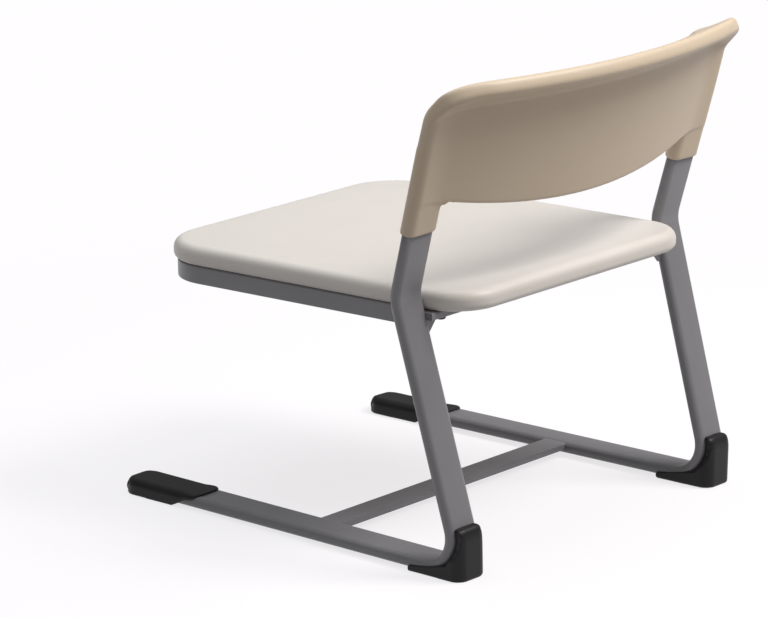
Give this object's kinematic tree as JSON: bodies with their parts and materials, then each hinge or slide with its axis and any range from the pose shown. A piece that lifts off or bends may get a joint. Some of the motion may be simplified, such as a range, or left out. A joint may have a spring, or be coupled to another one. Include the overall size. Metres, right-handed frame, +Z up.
{
  "type": "cantilever school chair",
  "caption": "Low cantilever school chair: two bent flat-oval side frames on floor runners, a moulded seat and a bowed backrest with a rolled lip.",
  "frame": {"origin": "on the floor, under the middle of the chair's outline", "axes": "+Z up; -Y towards the chair's front, where the runners point; +X towards the sitter's left"},
  "size_m": [0.5026, 0.5296, 0.522],
  "materials": {
    "frame_steel": "satin mid grey",
    "seat_shell": "fine grained, warm off white",
    "back_shell": "fine grained, warm off white",
    "foot_plastic": "black, satin",
    "plug_plastic": "dark grey",
    "black_steel": "black",
    "rivet_steel": "plain",
    "insert_brass": "plain"
  },
  "bodies": {
    "root": {"side_frame_left": "frame_steel", "side_frame_right": "frame_steel", "floor_bar": "frame_steel", "seat_rail": "frame_steel", "rear_seat_bar": "frame_steel", "gusset_plates": "frame_steel", "seat_tabs": "frame_steel", "seat": "seat_shell", "seat_inserts": "insert_brass", "seat_screws": "black_steel", "seat_washers": "black_steel", "backrest": "back_shell", "backrest_screws": "black_steel", "post_plug_left": "plug_plastic", "post_plug_right": "plug_plastic", "runner_plugs": "plug_plastic", "front_foot_left": "foot_plastic", "front_foot_right": "foot_plastic", "front_foot_rivets": "rivet_steel", "rear_foot_left": "foot_plastic", "rear_foot_right": "foot_plastic", "rear_foot_rivets": "rivet_steel"}
  },
  "joints": []
}
